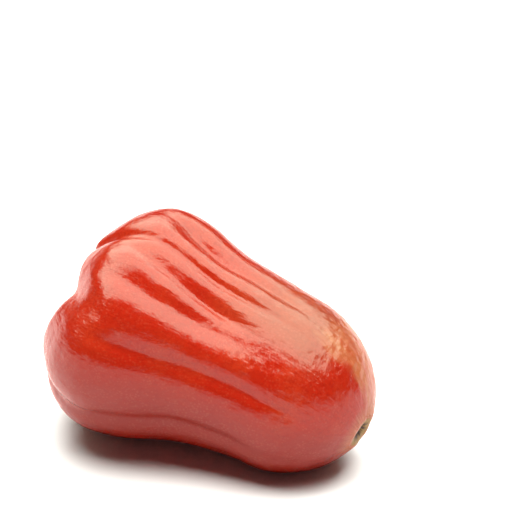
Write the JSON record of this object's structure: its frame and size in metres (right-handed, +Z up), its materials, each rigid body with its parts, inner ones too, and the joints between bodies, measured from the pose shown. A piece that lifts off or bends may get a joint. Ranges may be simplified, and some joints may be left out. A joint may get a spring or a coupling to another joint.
{
  "type": "water rose apple",
  "caption": "Whole water rose apple lying on its side, a glossy red ribbed bell-shaped fruit with a stem scar and a calyx basin.",
  "frame": {"origin": "centre of the bounding box on the surface that the fruit lies on", "axes": "+X along the fruit towards its narrow stem end, the longest extent, +Z up, +Y away from the deep furrow that the picture shows"},
  "size_m": [0.0886, 0.0618, 0.0605],
  "materials": {
    "skin": "waxy glossy red fruit skin, yellowish round the stem scar"
  },
  "bodies": {
    "root": {"fruit": "skin"}
  },
  "joints": []
}
